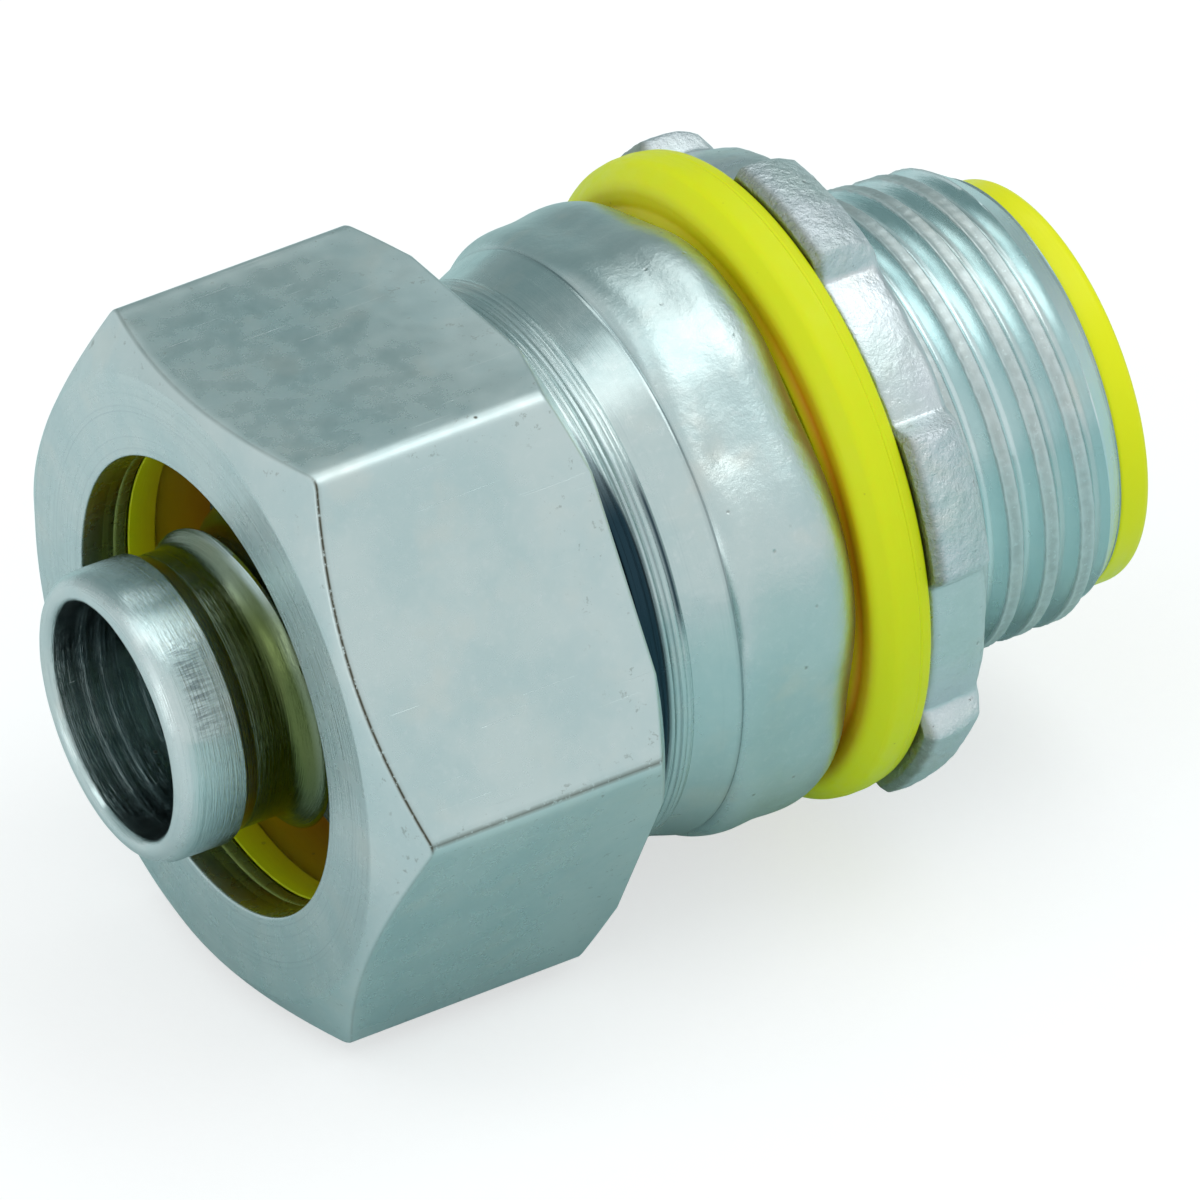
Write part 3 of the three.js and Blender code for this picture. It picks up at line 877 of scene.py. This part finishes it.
def sealing_gasket():
    phi = even_columns(300)
    section = (
        Outline(phi)
        .corner(GASKET_END, GASKET_INNER, 0.1)
        .corner(GASKET_START, GASKET_INNER, 0.1)
        .corner(GASKET_START, 12.35, 0.2)
        .corner(GASKET_START + 0.3, 12.75, 0.3, 6)
        .corner(GASKET_START + 0.25, 13.75, 0.9, 10)
        .corner(GASKET_START + 1.05, GASKET_OUTER - 0.08, 0.8, 10)
        .point(GASKET_START + 1.55, GASKET_OUTER)
        .corner(GASKET_END - 0.72, GASKET_OUTER, 0.05)
        .point(GASKET_END - 0.66, GASKET_OUTER - 0.05)
        .corner(GASKET_END - 0.56, GASKET_OUTER - 0.03, 0.05)
        .corner(GASKET_END - 0.04, GASKET_OUTER - 0.12, 0.45, 7)
        .point(GASKET_END, GASKET_OUTER - 1.2)
    )

    def bend(u, r, around):
        hang = GASKET_HANG * np.cos(around - OFF_PHI)
        return u + 0.05 * np.sin(around * 2 + 0.6) * smooth(r, 12, 14), r + hang

    def masks(u, r, around):
        # painted shade, darker and redder, in the dish and the groove beside the flange, strongest
        # from 50 to 130 degrees round, with a light wash over the inner face
        from_bead = r - GASKET_HANG * np.cos(around - OFF_PHI)
        degrees = np.degrees(around)
        near = smooth(degrees, 0, 50) * (1 - smooth(degrees, 130, 170))
        groove = np.maximum(hump(from_bead, 12.75, 0.35), 0.65 * hump(from_bead, 13.3, 0.4))
        groove = groove * (0.4 + 0.6 * near)
        inner = 0.25 * (1 - smooth(from_bead, 13.0, 14.3))
        return {"deep": np.clip(np.maximum(groove, inner) * (u < GASKET_END - 0.3), 0, 1)}

    return build("sealing_gasket_rubber", section, "sealing_gasket", "sealing_gasket",
                 gasket_rubber, bend=bend, masks=masks)


# ---------------------------------------------------------------- locknut
LUG_HALF = math.radians(14)
LUG_SIDE = math.radians(2.0)
FIRST_LUG = math.radians(10)
LOCKNUT_MINOR = 9.98


def locknut():
    sector = math.pi / 3
    side = np.concatenate([
        np.linspace(0, LUG_HALF - LUG_SIDE, 12, endpoint=False),
        np.linspace(LUG_HALF - LUG_SIDE, LUG_HALF + LUG_SIDE, 14, endpoint=False),
        np.linspace(LUG_HALF + LUG_SIDE, sector / 2, 12),
    ])
    one = np.concatenate([-side[:0:-1], side])[:-1]
    phi = np.sort(np.mod(np.concatenate([FIRST_LUG + k * sector + one for k in range(6)]), TAU))
    phi = np.concatenate([[0.0], phi, [TAU]])

    def lug_share(around):
        off = np.abs(np.mod(around - FIRST_LUG + sector / 2, sector) - sector / 2)
        return 1 - smooth(off, LUG_HALF - LUG_SIDE, LUG_HALF + LUG_SIDE)

    lug = lug_share(phi)
    outside = LOCKNUT_VALLEY + (LOCKNUT_LUG - LOCKNUT_VALLEY) * lug
    half = NIPPLE_PITCH / 2
    groove = thread_rows(
        phi, LOCKNUT_START + 0.1, LOCKNUT_END - 0.1, NIPPLE_PITCH, NIPPLE_ORIGIN,
        [-half, -0.82, -0.72, -0.50, -0.42, 0.42, 0.50, 0.72, 0.82, half],
        [0, 0.02, 0.12, 0.72, 0.80, 0.80, 0.72, 0.12, 0.02, 0],
        lambda u, d: LOCKNUT_MINOR + d,
    )
    section = Outline(phi).corner(LOCKNUT_START, 10.95, 0.1)
    section.corner(LOCKNUT_START, outside - 0.35, 0.2)
    section.corner(LOCKNUT_START + 0.3, outside - 0.02 - 0.1 * (1 - lug), 0.25)
    for t in np.linspace(0.04, 1, 24):
        fall = (0.2 + 0.35 * lug) * t**3
        section.point(LOCKNUT_START + 0.45 + (LOCKNUT_END - 0.75 - LOCKNUT_START) * t,
                      outside - 0.1 * (1 - lug) - fall)
    section.corner(LOCKNUT_END, outside - 0.6 - 0.5 * lug, 0.2)
    for t in np.linspace(0.1, 0.9, 7):
        section.point(LOCKNUT_END, (outside - 0.7 - 0.5 * lug) * (1 - t) + 11.2 * t)
    section.corner(LOCKNUT_END, 11.0, 0.15)
    section.points(groove[::-1])

    def bend(u, r, around):
        lug = lug_share(around)
        skin = smooth(r, 12.6, 13.6)
        middle = smooth(u, LOCKNUT_START, LOCKNUT_START + 0.3)
        middle = middle * (1 - smooth(u, LOCKNUT_END - 0.4, LOCKNUT_END))
        sheared = fractal(u * 0.3, r, around, 2.6, 4) * (0.35 + 0.65 * lug)
        rolled = fractal(u, r, around, 0.40, 2)
        wave = 0.04 * fractal(u, r, around, 0.8, 3) * smooth(u, LOCKNUT_START + 0.6, LOCKNUT_END)
        return u + wave * skin, r + skin * (0.05 * sheared * middle + 0.06 * rolled)

    def masks(u, r, around):
        lug = lug_share(around)
        skin = smooth(r, 12.6, 13.6)
        side = np.clip(4 * lug * (1 - lug), 0, 1)
        back = hump(u, LOCKNUT_END - 0.3, 0.3)
        # painted reflection of the gasket's yellow at the locknut's front
        front = 1 - smooth(u, LOCKNUT_START, LOCKNUT_START + 0.55)
        return {"edge": np.clip(0.6 * side + 0.5 * back, 0, 0.8) * skin,
                "turned": 1 - skin, "cast": skin * (0.35 + 0.65 * lug),
                "film": 0.55 * front * skin,
                "seam": 0.3 * lug * skin * hump(u, LOCKNUT_START + 0.25, 0.25)}

    return build("locknut_zinc", section, "locknut", "locknut", locknut_zinc,
                 bend=bend, masks=masks)


# ---------------------------------------------------------------- insulated throat
THROAT_REACH = 6.0  # how far the sleeve goes into the nipple


def insulated_throat():
    phi = even_columns(240)
    sleeve = WIREWAY - 0.03
    sleeve_end = NIPPLE_END - THROAT_REACH
    seat = NIPPLE_END + 0.05
    section = (
        Outline(phi)
        .corner(THROAT_END, THROAT_BORE + 0.05, 0.6, 8)
        .corner(sleeve_end, THROAT_BORE, 0.1)
        .corner(sleeve_end, sleeve, 0.1)
        .corner(seat, sleeve, 0.05)
        .corner(seat, THROAT_LIP - 0.03, 0.2, 6)
        .point(seat + 0.45, THROAT_LIP)
        .corner(THROAT_END, THROAT_LIP, 1.05, 12)
    )

    def masks(u, r, around):
        # painted shade: darker further into the bore
        return {"deep": 1 - smooth(r, 7.5, 8.6)}

    return build("insulated_throat_nylon", section, "insulated_throat", "body",
                 throat_nylon, masks=masks)


gland_nut()
compression_ring()
ferrule()
body()
sealing_gasket()
locknut()
insulated_throat()


# ---------------------------------------------------------------- camera, floor and light
VIEW_AZIMUTH = -29.17
VIEW_ELEVATION = 33.22
VIEW_ROLL = -3.44
VIEW_AIM = Vector((FRONT_X + 18.73, -1.69, -1.77)) * MM
VIEW_DISTANCE = 1293.6 * MM
LENS = 900.0

camera = bpy.data.objects.new("camera", bpy.data.cameras.new("camera"))
bpy.context.scene.collection.objects.link(camera)
camera.data.lens = LENS
camera.data.sensor_width = 36.0
camera.data.clip_start, camera.data.clip_end = 0.05, 20.0
turn = (
    Matrix.Rotation(math.radians(VIEW_AZIMUTH), 4, "Z")
    @ Matrix.Rotation(math.radians(90 - VIEW_ELEVATION), 4, "X")
    @ Matrix.Rotation(math.radians(VIEW_ROLL), 4, "Z")
)
back_off = Matrix.Translation((0, 0, VIEW_DISTANCE))
camera.matrix_world = Matrix.Translation(VIEW_AIM) @ turn @ back_off
bpy.context.scene.camera = camera

FLOOR_HALF = 3.0
FLOOR_GAP = 0.0002  # keeps the floor clear of the nut's flat
floor_mesh = bpy.data.meshes.new("floor")
floor_corners = [(x * FLOOR_HALF, y * FLOOR_HALF, FLOOR_Z - FLOOR_GAP)
                 for x, y in ((-1, -1), (1, -1), (1, 1), (-1, 1))]
floor_mesh.from_pydata(floor_corners, [], [(0, 1, 2, 3)])
floor = bpy.data.objects.new("floor", floor_mesh)
bpy.context.scene.collection.objects.link(floor)
# The floor looks like white paper to the camera. In reflections it has painted shade: grey-green
# round the fitting, for the floor's shadow there, and paler in front of the fitting.
paper = Shader("floor_paper")
grain = paper.noise(paper.place, 900, 3.0)
split = paper.node("ShaderNodeSeparateXYZ")
paper.put(paper.place, split.inputs[0])
seen_floor = paper.node("ShaderNodeLightPath").outputs["Is Camera Ray"]
ahead = paper.between(split.outputs[0], (FRONT_X - 14) * MM, (FRONT_X + 4) * MM, 1, 0)
reflected_floor_shade = paper.mix(ahead, (0.56, 0.72, 0.72), (0.82, 0.86, 0.87))
sheet = paper.mix(grain, (0.44, 0.45, 0.45), (0.46, 0.46, 0.46))
paper.out.inputs["Emission Color"].default_value = (1, 1, 1, 1)
paper.put(paper.math("MULTIPLY", seen_floor, 0.62), paper.out.inputs["Emission Strength"])
floor_mesh.materials.append(
    paper.finish(paper.mix(seen_floor, reflected_floor_shade, sheet), 0.9, paper.bump(grain, 0.00002))
)


def soft_light(name, direction, distance, size, power):
    """A rectangular soft light that faces the fitting from a direction."""
    data = bpy.data.lights.new(name, "AREA")
    data.shape = "RECTANGLE"
    data.size, data.size_y = size
    data.energy = power
    light = bpy.data.objects.new(name, data)
    bpy.context.scene.collection.objects.link(light)
    way = Vector(direction).normalized()
    light.location = way * distance
    light.rotation_mode = "QUATERNION"
    light.rotation_quaternion = way.to_track_quat("Z", "Y")
    light.visible_camera = False


soft_light("key", (0.41, -0.16, 0.90), 0.9, (0.55, 0.50), 1.35)
soft_light("ridge", (0.41, 0.42, 0.80), 0.9, (0.46, 0.36), 0.68)
soft_light("top", (-0.25, 0.08, 0.96), 1.0, (0.4, 1.1), 1.15)
soft_light("left", (-0.95, -0.25, 0.25), 0.9, (0.25, 0.5), 0.5)

world = bpy.data.worlds.new("studio")
bpy.context.scene.world = world
world.use_nodes = True
tree = world.node_tree
# Reflections see a pale room that is darker towards the far side; the camera sees plain white.
place = tree.nodes.new("ShaderNodeTexCoord")
toward = tree.nodes.new("ShaderNodeVectorMath")
toward.operation = "DOT_PRODUCT"
toward.inputs[1].default_value = Vector((0.41, 0.73, 0.55)).normalized()
tree.links.new(place.outputs["Generated"], toward.inputs[0])
shade = tree.nodes.new("ShaderNodeValToRGB")
shade.color_ramp.elements[0].position = 0.2
shade.color_ramp.elements[0].color = (0.78, 0.83, 0.84, 1)
shade.color_ramp.elements[1].position = 0.93
shade.color_ramp.elements[1].color = (0.24, 0.32, 0.325, 1)
tree.links.new(toward.outputs["Value"], shade.inputs[0])
seen = tree.nodes.new("ShaderNodeLightPath")
pick = tree.nodes.new("ShaderNodeMix")
pick.data_type = "RGBA"
tree.links.new(seen.outputs["Is Camera Ray"], pick.inputs["Factor"])
tree.links.new(shade.outputs[0], pick.inputs[6])
pick.inputs[7].default_value = (0.93, 0.94, 0.94, 1)
tree.links.new(pick.outputs[2], tree.nodes["Background"].inputs["Color"])
tree.nodes["Background"].inputs["Strength"].default_value = 1.0
bpy.context.scene.view_settings.view_transform = "Standard"
